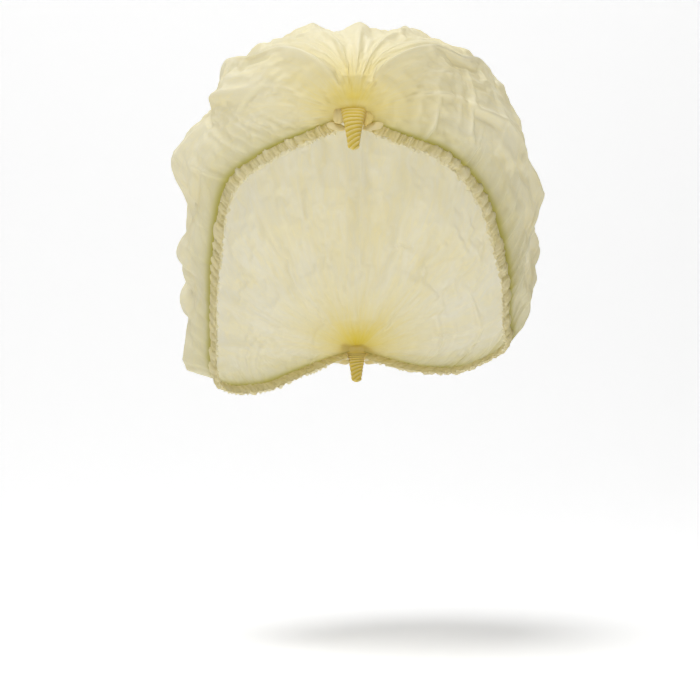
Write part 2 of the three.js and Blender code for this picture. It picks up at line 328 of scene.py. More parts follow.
def smooth(value, low, high):
    """Share of the way from low to high, eased at both ends."""
    t = np.clip((value - low) / (high - low), 0, 1)
    return t * t * (3 - 2 * t)


def blend(first, second, share):
    """The value that lies a share of the way from the first to the second."""
    return first + (second - first) * share


def window(value, start, full, fading, end):
    """1 from full to fading, eased down to 0 at the start and at the end."""
    return smooth(value, start, full) * (1 - smooth(value, fading, end))


def bell(value, middle, width):
    """A bell curve: exp(-((value - middle) / width) ^ 2)."""
    return np.exp(-(((value - middle) / width) ** 2))


def cubic(t, start, rise, slope_in, slope_out):
    """A cubic that leaves start and has risen by rise when t is 1, with a slope at either end."""
    bend = slope_in + slope_out - 2 * rise
    return start + t * (slope_in + t * (3 * rise - 2 * slope_in - slope_out + t * bend))


def linear(colour):
    """sRGB colour as linear RGBA."""
    c = np.array(colour[:3], float)
    return (*np.where(c <= 0.04045, c / 12.92, ((c + 0.055) / 1.055) ** 2.4), 1.0)


def column(name, along):
    """A column of SECTIONS at any place along the cap, as a smooth curve through the rows: a cubic between
    each two rows whose slope at a row is taken from its two neighbours."""
    at = SECTIONS["along"]
    values = SECTIONS[name]
    slopes = np.gradient(values)
    slopes[1:-1] = (values[2:] - values[:-2]) / (at[2:] - at[:-2])
    slopes[0] = (values[1] - values[0]) / (at[1] - at[0])
    slopes[-1] = (values[-1] - values[-2]) / (at[-1] - at[-2])
    i = np.clip(np.searchsorted(at, along) - 1, 0, len(at) - 2)
    span = at[i + 1] - at[i]
    t = (along - at[i]) / span
    return cubic(t, values[i], values[i + 1] - values[i], slopes[i] * span, slopes[i + 1] * span)


def noise(x, y, seed):
    """Soft random height from -1 to 1 over the plane: a random value at each whole place, eased between."""
    values = np.random.default_rng(seed).uniform(-1, 1, (NOISE_CELLS, NOISE_CELLS))
    i, j = np.floor(x).astype(int), np.floor(y).astype(int)
    s, t = smooth(x - i, 0, 1), smooth(y - j, 0, 1)

    def corner(right, up):
        return values[(i + right) % NOISE_CELLS, (j + up) % NOISE_CELLS]

    return blend(blend(corner(0, 0), corner(1, 0), s), blend(corner(0, 1), corner(1, 1), s), t)


def arch_points(size, along, across):
    """The crown's smooth form. At each place along it, a full arch runs from one rim over the apex to the
    other: out = width * sin(a) ^ (2 / fullness), up = waist + (height - waist) * cos(a) ^ (2 / fullness)
    above the widest point, and an ellipse that tucks in to the rim below it."""
    along, across = np.broadcast_arrays(np.asarray(along, float), np.asarray(across, float))
    left = across < 0
    side = np.where(left, -1.0, 1.0)

    def rim(axis):
        return np.where(left, column("left_" + axis, along), column("right_" + axis, along))

    rim_x = blend(size.tab_width / 2, size.crown_width / 2, rim("x"))
    rim_y, rim_z = rim("y") * size.crown_depth, rim("z") * size.crown_drop
    rise_y = column("apex_y", along) * size.crown_depth - rim_y
    rise_z = column("apex_z", along) * size.crown_drop - rim_z
    height = np.hypot(rise_y, rise_z)
    width = rim_x + column("bulge", along) * size.side_bulge
    waist = WAIST_SHARE * height
    tuck = np.arccos(rim_x / width)
    upper = np.hypot(width, height - waist) * ARC_EXCESS
    lower = np.hypot(width - rim_x, waist)
    waist_across = upper / (upper + lower)
    reach = np.abs(across)
    turn = np.clip(reach / waist_across, 0, 1) * np.pi / 2
    over_out = width * np.sin(turn) ** (2 / ARCH_FULLNESS)
    over_up = waist + (height - waist) * np.maximum(np.cos(turn), 0) ** (2 / ARCH_FULLNESS)
    turn = np.clip((reach - waist_across) / (1 - waist_across), 0, 1) * tuck
    under_out = width * np.cos(turn)
    under_up = waist - waist / np.sin(tuck) * np.sin(turn)
    above = reach < waist_across
    out, up = np.where(above, over_out, under_out), np.where(above, over_up, under_up)
    sway = -TAB_SWAY * (1 - smooth(along, 0.0, 0.14))
    return np.stack([side * out + sway, rim_y + rise_y / height * up, rim_z + rise_z / height * up], -1)


def arch_ends(size, along):
    """The apex of an arch, and the place halfway between its two rims."""
    apex = arch_points(size, along, 0.0)
    rims = (arch_points(size, along, 1.0) + arch_points(size, along, -1.0)) / 2
    return apex, rims


def outward(surface, along, across):
    """The outward unit direction of a surface function: the step across crossed with the step along."""
    low, high = np.maximum(along - PROBE, 0), np.minimum(along + PROBE, 1)
    left, right = np.maximum(across - PROBE, -1), np.minimum(across + PROBE, 1)
    crosswise = surface(along, right) - surface(along, left)
    lengthwise = surface(high, across) - surface(low, across)
    normal = np.cross(crosswise, lengthwise)
    return normal / np.linalg.norm(normal, axis=-1, keepdims=True)


def across_of(along, strand):
    """Where a strand of the cloth runs. Strands keep their place between the ridges of the long pleats,
    so they crowd together at the front tab and fan out behind it."""
    front = np.interp(strand, PLEATS["ridge"], PLEATS["front"])
    return blend(front, strand, smooth(along, 0.03, 0.2))


def pleat_sag(along, strand):
    """Valleys between the ridges: a half wave of sine from each ridge to the next."""
    ridges, valleys = PLEATS["ridge"], PLEATS["valley"]
    sag = sum(
        valley * np.sin(np.pi * np.clip((strand - start) / (end - start), 0, 1))
        for start, end, valley in zip(ridges[:-1], ridges[1:], valleys)
    )
    return sag * window(along, 0.04, 0.32, 0.82, 0.99)


def lobe_rise(along, across):
    """The two lobes beside the front tab: steep at the crest, sloping off towards the rim."""
    crest = np.abs(across_of(along, PLEATS["ridge"][LOBE_RIDGE]))
    away = np.abs(across) - crest
    spread = np.where(away < 0, 0.03, 0.28)
    return bell(away, 0, spread) * window(along, 0.02, 0.08, 0.2, 0.36)


def puff_rise(along, across):
    """Puffs and dents: a bell in each row's place."""
    rise = sum(
        height * bell(along, at, length) * bell(across, over, width)
        for at, over, length, width, height in zip(*PUFFS.values())
    )
    edge = 1 - smooth(np.abs(across), 0.9, 1)
    return rise * window(along, 0, 0.06, 0.94, 1) * edge


def fold_rise(size, along, strand):
    """Fine creases from tab to tab: a folded zigzag over the strands, with wandering depth."""
    wander = 0.012 * noise(along * 9, strand * 5, 3)
    phase = (strand + wander) * size.fold_count / 2
    zigzag = 1 - 4 * np.abs(phase - np.round(phase))
    depth = 0.55 + 0.45 * noise(along * 6, strand * size.fold_count * 0.6, 4)
    fade = window(along, 0.04, 0.3, 0.75, 0.97)
    return zigzag * depth * fade * (1 - smooth(np.abs(strand), 0.82, 1))


def crease_rise(along, strand):
    """Thin crests: each a peak of 1 / (1 + (distance / width) ^ 2) along its own strand."""
    rise = 0
    for place, lean, start, end, height in zip(*CREASES.values()):
        middle = place + lean * (along - start) + 0.01 * noise(along * 14 + place * 9, along * 0 + place, 8)
        away = (strand - middle) * MID_WIDTH / 2 / CREASE_WIDTH
        fade = window(along, start, start + 0.08, end - 0.2, end)
        rise = rise + height * fade / (1 + away**2)
    return rise


def gather_rise(size, along, across):
    """Short folds at the rims: narrow crests 1 / (1 + (phase / width) ^ 2), leaning backwards up the cloth
    on the left and square to the rim on the right, and dying out over it."""
    reach = 1 - np.abs(across)
    side = np.where(across < 0, 0.0, 1.0)
    place = along - blend(0.45, 0.05, side) * reach
    phase = place * RIM_LENGTH / size.gather_pitch + 0.5 * noise(place * 23, side * 7.5 + 0.5, 5)
    away = np.abs(phase - np.round(phase))
    crest = 1 / (1 + (away / GATHER_WIDTH) ** 2) - 0.25
    height = np.clip(0.35 + 1.1 * noise(np.round(phase) + side * 40, reach * 4, 6), 0, 1.2)
    dying = smooth(reach, 0.0, 0.035) * bell(reach, 0, blend(0.14, 0.24, side))
    fade = window(along, 0.02, 0.1, 0.9, 0.98)
    return crest * height * dying * fade * blend(1.0, 1.5, side)


def crumple_rise(along, strand):
    """Soft crumples: three sizes of noise over the flat cloth, the smaller ones creased."""
    x, y = along * MID_LENGTH / MM, strand * MID_WIDTH / 2 / MM
    broad = noise(x / 34 + 3, y / 21, 11)
    folds = 1 - 2 * np.abs(noise(x / 24 + y / 60, y / 9.5 - x / 110, 12))
    fine = 1 - 2 * np.abs(noise(x / 11 - y / 30, y / 5.5, 13))
    fade = window(along, 0.03, 0.16, 0.88, 0.98) * (1 - smooth(np.abs(strand), 0.9, 1))
    fade = fade * (1 - 0.6 * smooth(along, 0.45, 0.7))
    return (0.9 * broad + 0.32 * folds + 0.1 * fine) * fade


def painted_highlight_share(along, across, strand):
    """A painted highlight away from the crests: over the fan of pleats behind the front tab, to lighten the
    shade of its creases, and in a band along the very edge that enters that tab, over the shade there."""
    fan = 0.9 * bell(strand, 0, 0.33) * window(along, 0.05, 0.13, 0.3, 0.5)
    edge = 0.45 * bell(along, 0.006, 0.006) * (1 - smooth(np.abs(across), 0.2, 0.5))
    return fan + edge


def crown_points(size, along, strand):
    """The cloth: the smooth form, moved outward by its lobes, puffs, pleats, folds, gathers and crumples.
    Also returns the painted highlight of each point, from 0 to 1, on the crest of a crease or gather or as
    painted_highlight_share says."""
    across = across_of(along, strand)
    creases = crease_rise(along, strand)
    gathers = gather_rise(size, along, across)
    lift = (
        size.lobe_height * lobe_rise(along, across)
        + size.puff_height * puff_rise(along, across)
        - size.pleat_depth * pleat_sag(along, strand)
        + size.fold_depth * (fold_rise(size, along, strand) + creases)
        + size.gather_depth * gathers
        + size.crumple_height * crumple_rise(along, strand)
    )
    form = partial(arch_points, size)
    points = form(along, across) + outward(form, along, across) * lift[..., None]
    # A painted highlight on the crests of creases and gathers, and where painted_highlight_share says
    pale = np.maximum(creases * CREASE_HIGHLIGHT, gathers * GATHER_HIGHLIGHT) + painted_highlight_share(along, across, strand)
    return points, np.clip(pale, 0, 1)


def between(values, count):
    """Values along the first axis at count even places, as a smooth curve through them."""
    place = np.linspace(0, len(values) - 1, count)
    i = np.clip(place.astype(int), 0, len(values) - 2)
    t = (place - i).reshape(-1, *[1] * (values.ndim - 1))
    before, start = values[np.maximum(i - 1, 0)], values[i]
    end, after = values[i + 1], values[np.minimum(i + 2, len(values) - 1)]
    return cubic(t, start, end - start, (end - before) / 2, (after - start) / 2)


def cloth_grid(rows, columns):
    """Even places along the cloth and across its strands, as a grid of either."""
    return np.broadcast_arrays(np.linspace(0, 1, rows)[:, None], np.linspace(-1, 1, columns)[None, :])


def settled_shift(size, rows, columns, frames):
    """How the loose cloth settles: a short cloth simulation of a coarse grid of the crown, held at its
    rims and tabs and a little too large for its form, so that it buckles softly. Returns the way that
    each point went."""
    along, strand = cloth_grid(rows, columns)
    points, _ = crown_points(size, along, strand)
    coarse = surface_object("settling_cloth", points, points[..., :2])
    held = np.ones((rows, columns), bool)
    held[3:-3, 2:-2] = False
    group = coarse.vertex_groups.new(name="held")
    group.add(np.flatnonzero(held).tolist(), 1.0, "REPLACE")
    cloth = coarse.modifiers.new("settling", "CLOTH")
    cloth.settings.quality = 6
    cloth.settings.mass = 0.0002
    cloth.settings.tension_stiffness = 8
    cloth.settings.compression_stiffness = 8
    cloth.settings.shear_stiffness = 3
    cloth.settings.bending_stiffness = 0.02
    cloth.settings.air_damping = 6
    cloth.settings.vertex_group_mass = "held"
    cloth.settings.shrink_min = -0.035
    cloth.settings.use_pressure = True
    cloth.settings.uniform_pressure_force = 0.004
    cloth.settings.effector_weights.gravity = 0.3
    cloth.point_cache.frame_start = 1
    cloth.point_cache.frame_end = frames
    scene = bpy.context.scene
    for number in range(1, frames + 1):
        scene.frame_set(number)
    after = np.empty(rows * columns * 3, np.float32)
    evaluated = coarse.evaluated_get(bpy.context.evaluated_depsgraph_get())
    evaluated.data.vertices.foreach_get("co", after)
    bpy.data.objects.remove(coarse)
    scene.frame_set(1)
    return after.reshape(points.shape) - points


def layers_at(points, size):
    """How thickly the cloth lies in layers, from 0 to 1: exp(-(distance / reach) ^ fall) from each tab."""
    near = 0
    for tab in (0.0, 1.0):
        distance = np.linalg.norm((points - arch_points(size, tab, 0.0)) * LAYER_SPREAD, axis=-1)
        near = near + np.exp(-((distance / LAYER_REACH) ** LAYER_FALL))
    return np.clip(near, 0, 1)


def surface_object(name, points, flat, closed=False, **shares):
    """A mesh over a grid of points. closed joins the last column to the first and caps both ends with a
    fan. flat is each point's place on the flat cloth. Each of shares becomes an attribute of its name."""
    rows, columns = points.shape[:2]
    index = np.arange(rows * columns).reshape(rows, columns)
    right = np.roll(index, -1, axis=1)
    if not closed:
        index, right = index[:, :-1], right[:, :-1]
    quads = np.stack([index[:-1], right[:-1], right[1:], index[1:]], -1).reshape(-1, 4)
    corners = [quads]
    vertices = points.reshape(-1, 3)
    uv = flat.reshape(-1, 2)
    shares = {key: np.broadcast_to(value, (rows, columns)).reshape(-1) for key, value in shares.items()}
    if closed:
        ends = np.stack([points[0].mean(0), points[-1].mean(0)])
        vertices = np.concatenate([vertices, ends])
        uv = np.concatenate([uv, uv[[0, -1]]])
        shares = {key: np.concatenate([value, value[[0, -1]]]) for key, value in shares.items()}
        first, last = rows * columns, rows * columns + 1
        corners.append(np.stack([np.full(columns, first), right[0], index[0]], -1))
        corners.append(np.stack([np.full(columns, last), index[-1], right[-1]], -1))
    mesh = bpy.data.meshes.new(name)
    mesh.vertices.add(len(vertices))
    mesh.vertices.foreach_set("co", vertices.astype(np.float32).ravel())
    loops = np.concatenate([c.ravel() for c in corners])
    sizes = np.concatenate([np.full(len(c), c.shape[1]) for c in corners])
    mesh.loops.add(len(loops))
    mesh.loops.foreach_set("vertex_index", loops.astype(np.int32))
    mesh.polygons.add(len(sizes))
    mesh.polygons.foreach_set("loop_start", (np.cumsum(sizes) - sizes).astype(np.int32))
    mesh.polygons.foreach_set("use_smooth", np.ones(len(sizes), bool))
    mesh.update(calc_edges=True)
    mesh.uv_layers.new(name="flat")
    mesh.uv_layers["flat"].uv.foreach_set("vector", uv[loops].astype(np.float32).ravel())
    for key, value in shares.items():
        mesh.attributes.new(key, "FLOAT", "POINT")
        mesh.attributes[key].data.foreach_set("value", value.astype(np.float32))
    mesh.validate()
    made = bpy.data.objects.new(name, mesh)
    bpy.context.scene.collection.objects.link(made)
    return made


def add_node(tree, kind, inputs=None, **settings):
    """A node of a kind, with settings as attributes and inputs as values or as sockets to link from."""
    made = tree.nodes.new(kind)
    for key, value in settings.items():
        setattr(made, key, value)
    for key, value in (inputs or {}).items():
        if isinstance(value, bpy.types.NodeSocket):
            tree.links.new(value, made.inputs[key])
        else:
            made.inputs[key].default_value = value
    return made


def shifted(tree, value, low, high, to_low, to_high):
    """A value's range from low to high, moved to the range from to_low to to_high and held inside it."""
    inputs = {"Value": value, "From Min": low, "From Max": high, "To Min": to_low, "To Max": to_high}
    return add_node(tree, "ShaderNodeMapRange", inputs).outputs["Result"]


def worked_out(tree, operation, first, second):
    """The result of a sum, difference or product, held between 0 and 1."""
    made = add_node(tree, "ShaderNodeMath", {0: first, 1: second}, operation=operation, use_clamp=True)
    return made.outputs["Value"]


def mixed(tree, share, first, second):
    """The colour that lies a share of the way from the first to the second."""
    inputs = {"Factor": share, "A": first, "B": second}
    return add_node(tree, "ShaderNodeMix", inputs, data_type="RGBA").outputs["Result"]


def nonwoven(name, colours, see_through):
    """Spunbond polypropylene: thin, matt and translucent, bonded in a grid of tiny dots between loose
    fibres that lie in wisps. Its yellow deepens where layers lie on each other. It takes a painted
    highlight, and is denser, along the crests of its folds and wherever the crest attribute says, and a
    painted olive shade, denser too, where it tucks in above the hem and wherever the tuck attribute says."""
    material = bpy.data.materials.new(name)
    material.use_nodes = True
    tree = material.node_tree
    tree.nodes.clear()
    flat = add_node(tree, "ShaderNodeUVMap", uv_map="flat").outputs["UV"]
    # crest carries a painted highlight and tuck a painted shade; layers is how thickly the cloth lies
    layers, crest, tuck = (
        add_node(tree, "ShaderNodeAttribute", attribute_name=key).outputs["Fac"]
        for key in ("layers", "crest", "tuck")
    )
    stretched = add_node(
        tree, "ShaderNodeMapping", {"Vector": flat, "Scale": (0.35, 1.0, 1.0), "Rotation": (0.0, 0.0, 0.3)}
    ).outputs["Vector"]
    wisps = add_node(
        tree, "ShaderNodeTexNoise",
        {"Vector": stretched, "Scale": 1 / (5 * MM), "Detail": 5.0, "Roughness": 0.7, "Distortion": 1.2},
    ).outputs["Fac"]
    fibres = add_node(
        tree, "ShaderNodeTexNoise",
        {"Vector": flat, "Scale": 1 / (0.9 * MM), "Detail": 4.0, "Roughness": 0.7},
    ).outputs["Fac"]
    dots = add_node(
        tree, "ShaderNodeTexVoronoi", {"Vector": flat, "Scale": 1 / (1.3 * MM), "Randomness": 0.25}
    ).outputs["Distance"]
    wispy = shifted(tree, wisps, 0.35, 0.65, 0.0, 0.5)
    share = worked_out(tree, "ADD", layers, shifted(tree, wisps, 0.35, 0.65, -0.05, 0.1))
    tint = mixed(tree, share, linear(colours.single), linear(colours.stacked))
    # Painted highlight: the crest colour mixed in where the crest attribute says
    tint = mixed(tree, worked_out(tree, "MULTIPLY", crest, 0.5), tint, linear(colours.crest))
    # Painted shade: the olive tuck colour mixed in where the tuck attribute says
    tint = mixed(tree, tuck, tint, linear(colours.tuck))
    relief = add_node(tree, "ShaderNodeMath", {0: fibres, 1: dots}, operation="ADD").outputs["Value"]
    bump = add_node(
        tree, "ShaderNodeBump", {"Height": relief, "Strength": 0.35, "Distance": 0.08 * MM}
    ).outputs["Normal"]
    front = add_node(
        tree, "ShaderNodeBsdfPrincipled",
        {"Base Color": tint, "Roughness": 0.6, "Specular IOR Level": 0.25, "Sheen Weight": 0.15,
         "Sheen Roughness": 0.5, "Normal": bump},
    ).outputs["BSDF"]
    deeper = add_node(tree, "ShaderNodeGamma", {"Color": tint, "Gamma": 1.7}).outputs["Color"]
    through = add_node(tree, "ShaderNodeBsdfTranslucent", {"Color": deeper, "Normal": bump}).outputs["BSDF"]
    clear = add_node(tree, "ShaderNodeBsdfTransparent", {"Color": (1.0, 1.0, 1.0, 1.0)}).outputs["BSDF"]
    body = add_node(tree, "ShaderNodeMixShader", {"Fac": 0.45, 1: front, 2: through}).outputs["Shader"]
    # The painted highlight and shade also make the cloth denser, so less of it is see-through
    folded = worked_out(tree, "ADD", crest, tuck)
    dense = worked_out(tree, "ADD", worked_out(tree, "MULTIPLY", layers, 1.4), folded)
    thin = shifted(tree, dense, 0.0, 1.0, see_through, 0.0)
    open_share = worked_out(tree, "MULTIPLY", thin, worked_out(tree, "SUBTRACT", 1.2, wispy))
    whole = add_node(tree, "ShaderNodeMixShader", {"Fac": open_share, 1: body, 2: clear}).outputs["Shader"]
    add_node(tree, "ShaderNodeOutputMaterial", {"Surface": whole})
    return material


def crown_grid(size, rows, columns):
    """The crown's fine grid, moved as the settled cloth was and drawn in where it enters the tabs, the
    painted highlight of each point, and its place on the flat cloth."""
    along, strand = cloth_grid(rows, columns)
    points, pale = crown_points(size, along, strand)
    shift = between(settled_shift(size, *SETTLING_GRID, SETTLING_FRAMES), rows)
    points = points + between(shift.swapaxes(0, 1), columns).swapaxes(0, 1)
    apex, rims = arch_ends(size, along)
    to_tab = np.minimum(along, 1 - along)
    drawn_in = DRAWN_SHARE * np.maximum(1 - to_tab / DRAWN_RUN, 0)
    points = blend(points, (apex + rims) / 2, drawn_in[..., None])
    return points, pale, np.stack([along * MID_LENGTH, strand * MID_WIDTH / 2], -1)


def crown_shares(size, points, flat):
    """How far the crown's cloth lies in layers: most in the tabs, a little over the top, and more or less
    in soft patches. And a painted shadow: a dark olive line above each hem where the cloth bulges over it,
    in a wider, fainter band."""
    to_rim = 1 - np.abs(flat[..., 1]) / (MID_WIDTH / 2)
    patches = noise(flat[..., 0] / (26 * MM) + 5, flat[..., 1] / (15 * MM) + 20, 14)
    layers = 0.03 + 0.13 * bell(to_rim, 1, 0.5) + 0.68 * layers_at(points, size) + 0.06 * patches
    # Painted shadow where the cloth bulges over each hem
    tuck = 0.65 * bell(to_rim, 0, 0.022) + 0.3 * bell(to_rim, 0, 0.09)
    return layers, tuck


class CAP_OT_crown(bpy.types.Operator):
    """Build the crown: the pleated cloth from rim to rim and from tab to tab"""

    bl_idname = "cap.crown"
    bl_label = "Build crown"

    def execute(self, context):
        size, colours = context.scene.cap_sizes, context.scene.cap_colours
        points, pale, flat = crown_grid(size, *CROWN_GRID)
        layers, tuck = crown_shares(size, points, flat)
        crown = surface_object("crown_cloth", points, flat, layers=layers, crest=pale, tuck=tuck)
        crown.data.materials.append(nonwoven("spunbond_cloth", colours, see_through=0.2))
        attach(crown, "root")
        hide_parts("crown")
        return {"FINISHED"}


def rim_frame(size, side, rows, low, high):
    """Even places along a rim from low to high: the point, the ways out and down the cloth, and the run."""
    share = np.linspace(low, high, rows)
    form = partial(arch_points, size)
    rim = form(share, np.full(rows, float(side)))
    out = outward(form, share, np.full(rows, float(side)))
    down = rim - form(share, np.full(rows, side * (1 - PROBE)))
    down /= np.linalg.norm(down, axis=-1, keepdims=True)
    run = np.concatenate([[0], np.cumsum(np.linalg.norm(np.diff(rim, axis=0), axis=-1))])
    return rim, out, down, run


def ruffle_swell(size, side, run):
    """How full a ruffle is along the rim: |sin(phase)| ^ 0.7, of wandering pitch and height."""
    pitch = size.ruffle_pitch * (1.0 if side < 0 else 1.3)
    phase = run / pitch + 0.9 * noise(run / (13 * MM), run * 0 + side * 3.5, 21)
    tall = 0.7 + 0.5 * noise(np.floor(phase), run * 0 + side * 2.5, 22)
    small = 0.35 * np.abs(np.sin(np.pi * (phase * 2.7 + 0.8 * noise(run / (6 * MM), run * 0 + side, 26))))
    return np.abs(np.sin(np.pi * phase)) ** 0.7 * tall * 0.9 + 0.7 * small


def hem_points(size, side, rows, columns):
    """A hem: a flat tube along the rim whose section is an ellipse that swells in each ruffle and is
    pinched between them, with small random crinkles, and closes round at both ends."""
    rim, out, down, run = rim_frame(size, side, rows, 0.006, 0.994)
    swell = ruffle_swell(size, side, run)
    turn = np.linspace(0, 2 * np.pi, columns, endpoint=False)[None, :] * -side
    ends = np.sqrt(np.clip(np.minimum(run, run[-1] - run) / (3 * MM), 0, 1))[:, None]
    high = (size.hem_height / 2) * (0.66 + 0.42 * swell)[:, None] * ends
    thick = (size.hem_thickness / 2) * (0.5 + 0.75 * swell)[:, None] * ends
    crinkle = HEM_CRINKLE * noise(run[:, None] / (1.3 * MM), turn * 1.3 + 9, 23) * ends
    place = size.ruffle_depth * (swell - 0.5) - HEM_INSET
    centre = rim + down * HEM_DROP + out * place[:, None]
    points = (
        centre[:, None]
        + down[:, None] * (high * np.cos(turn) + crinkle)[..., None]
        + out[:, None] * (thick * np.sin(turn) + crinkle)[..., None]
    )
    flat = np.stack(np.broadcast_arrays(run[:, None], turn * size.hem_height / 3), -1)
    return points, flat, swell[:, None]


def frill_points(size, side, rows, columns):
    """The frill below the elastic: the hem's raw edge, a narrow strip whose waves grow towards its edge."""
    rim, out, down, run = rim_frame(size, side, rows, 0.012, 0.988)
    swell = ruffle_swell(size, side, run)
    t = np.linspace(0, 1, columns)[None, :]
    wave = np.sin(2 * np.pi * (run / (3.4 * MM) + 1.3 * noise(run / (9 * MM), run * 0 + side, 24)))[:, None]
    width = size.frill_width * (0.75 + 0.4 * noise(run / (2.6 * MM), run * 0 + side * 5, 25))[:, None]
    start = rim + down * (HEM_DROP + size.hem_height * 0.34) - out * 0.5 * MM
    drop, sway = width * t, (0.8 * MM * wave + 0.5 * MM * (swell[:, None] - 0.5)) * t
    points = start[:, None] + down[:, None] * drop[..., None] + out[:, None] * sway[..., None]
    flat = np.stack(np.broadcast_arrays(run[:, None], drop), -1)
    return (points if side > 0 else points[:, ::-1]), flat, 0.5 + 0.5 * wave


class CAP_OT_hems(bpy.types.Operator):
    """Build the two ruffled elastic hems and the frills below them"""

    bl_idname = "cap.hems"
    bl_label = "Build hems"

    def execute(self, context):
        size, colours = context.scene.cap_sizes, context.scene.cap_colours
        cloth = nonwoven("gathered_hem_cloth", colours, see_through=0.1)
        for side, name in ((-1, "hem_left"), (1, "hem_right")):
            points, flat, swell = hem_points(size, side, *HEM_GRID)
            hem = surface_object(
                name + "_ruffle", points, flat, closed=True,
                layers=0.2 + 0.6 * layers_at(points, size),
                # Painted highlight on the full ruffles; painted shade in the pinches between them, over a
                # little of the hem's own olive
                crest=0.3 * smooth(swell, 0.4, 1.1),
                tuck=0.27 - 0.2 * smooth(swell, 0.05, 0.8),
            )
            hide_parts(name)
            points, flat, wave = frill_points(size, side, *FRILL_GRID)
            # A painted highlight on the crests of the frill's waves
            frill = surface_object(name + "_frill", points, flat, layers=0.15, crest=0.5 * wave, tuck=0.0)
            for made in (hem, frill):
                made.data.materials.append(cloth)
                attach(made, "root")
        return {"FINISHED"}


def tab_points(size, along, hang, rows, columns):
    """A welded tab: a rounded bar that leaves the gathered cloth, bends down along a quadratic curve and
    narrows to its tip. Each stacked pleat is a rib whose edge rises and then drops: a sawtooth along it."""
    apex, rims = arch_ends(size, along)
    height = apex - rims
    inward = 1.0 if along < 0.5 else -1.0
    leave = np.cross((inward, 0, 0), height)
    leave /= np.linalg.norm(leave)
    root = (apex + rims) / 2 + leave * TAB_GAP
    bend = root + leave * size.tab_length * TAB_BEND
    tip = bend + np.array(hang) * size.tab_length * TAB_HANG
    t = np.linspace(0, 1, rows)[:, None]
    centre = root * (1 - t) ** 2 + bend * 2 * t * (1 - t) + tip * t**2
    direction = (bend - root) * 2 * (1 - t) + (tip - bend) * 2 * t
    direction /= np.linalg.norm(direction, axis=-1, keepdims=True)
    thickness = np.cross(direction, (1.0, 0, 0))
    thickness /= np.linalg.norm(thickness, axis=-1, keepdims=True)
    turn = np.linspace(0, 2 * np.pi, columns, endpoint=False)[None, :]
    side = np.sign(np.cos(turn)) * np.abs(np.cos(turn)) ** 0.6
    face = np.sign(np.sin(turn)) * np.abs(np.sin(turn)) ** 0.6
    slant = 0.08 * side * smooth(t, 0.2, 0.9) + 0.03 * (1 - side**2) * (1 - t)
    ribs = (t + slant) * size.tab_pleats
    lip = 1 - (ribs % 1) ** 2
    rib = TAB_RIB * lip * smooth(t, 0.0, 0.04)
    half_width = (size.tab_width / 2) * (1 - TAB_NARROWING * t) + rib * 0.8
    half_thickness = (size.tab_thickness / 2) * (1 - TAB_THINNING * t) + rib
    close = np.sqrt(np.clip((1 - t) / 0.04, 0, 1)) * np.sqrt(np.clip((t + 0.004) / 0.02, 0, 1))
    points = (
        centre[:, None]
        + thickness[:, None] * (half_thickness * face * close)[..., None]
        + np.array((1.0, 0, 0)) * (half_width * side * close)[..., None]
    )
    flat = np.stack(np.broadcast_arrays(t * size.tab_length, turn * size.tab_width / 4), -1)
    return points, flat, lip


def fold_points(centre, reach, lean, rows, columns):
    """A small flat fold of cloth: a pillow of rounded corners, leaning in the plane that faces the front,
    with creases that run down it."""
    rise = np.linspace(0.02, np.pi - 0.02, rows)[:, None]
    turn = np.linspace(0, 2 * np.pi, columns, endpoint=False)[None, :]
    x = np.sin(rise) ** 0.6 * np.sign(np.cos(turn)) * np.abs(np.cos(turn)) ** 0.7
    y = np.sin(rise) ** 0.6 * np.sin(turn) * (1 + 0.3 * noise(x * 4 + 9, np.cos(rise) + 0 * turn, 31))
    z = np.cos(rise) + 0 * turn
    x, y, z = x * reach[0], y * reach[1], z * reach[2]
    leaning_x = x * np.cos(lean) + z * np.sin(lean)
    leaning_z = z * np.cos(lean) - x * np.sin(lean)
    shape = np.stack([leaning_x, y + FOLD_TILT * z, leaning_z], -1)
    flat = np.stack(np.broadcast_arrays(rise * reach[2], turn * reach[0]), -1)
    return (np.array(centre) + shape)[:, ::-1], flat


def place_near(size, along, shift):
    """A place shifted sideways, outward from the cap's middle and up from a tab's root."""
    apex, rims = arch_ends(size, along)
    outward_y = -1.0 if along < 0.5 else 1.0
    return (apex + rims) / 2 + np.array((shift[0], shift[1] * outward_y, shift[2]))


class CAP_OT_tabs(bpy.types.Operator):
    """Build the front and rear tabs of welded pleats, and the folded ends of the strip beside them"""

    bl_idname = "cap.tabs"
    bl_label = "Build tabs"

    def execute(self, context):
        size, colours = context.scene.cap_sizes, context.scene.cap_colours
        weld = nonwoven("welded_pleats", colours, see_through=0.0)
        for name, along, hang in (("front_tab", 0.0, (0, 0.05, -1)), ("rear_tab", 1.0, (0, -0.1, -1))):
            points, flat, lip = tab_points(size, along, hang, *TAB_GRID)
            # A painted highlight on the lip of each rib, and a painted shade in the groove below it
            tab = surface_object(
                name + "_pleats", points, flat, closed=True,
                layers=0.95, crest=0.7 * lip**3, tuck=0.5 * (1 - smooth(lip, 0.0, 0.35)),
            )
            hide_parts(name)
            made = [tab]
            for part, shift, reach, lean, layers in FOLDS:
                points, flat = fold_points(place_near(size, along, shift), reach, lean, *FOLD_GRID)
                # An even painted highlight that lightens the small folds' shaded faces
                fold = surface_object(
                    f"{name}_{part}", points, flat, closed=True, layers=layers, crest=0.45, tuck=0.0
                )
                made.append(fold)
            for each in made:
                each.data.materials.append(weld)
                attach(each, "root")
        return {"FINISHED"}


def aim(made, place, target):
    """Puts an object at a place, looking along its own -Z at a target."""
    made.location = place
    made.rotation_euler = (Vector(target) - Vector(place)).to_track_quat("-Z", "Y").to_euler()
    bpy.context.scene.collection.objects.link(made)


def soft_light(name, place, target, width, power):
    """A round area light that shines from a place at a target."""
    data = bpy.data.lights.new(name, "AREA")
    data.shape = "DISK"
    data.size = width
    data.energy = power
    aim(bpy.data.objects.new(name, data), place, target)


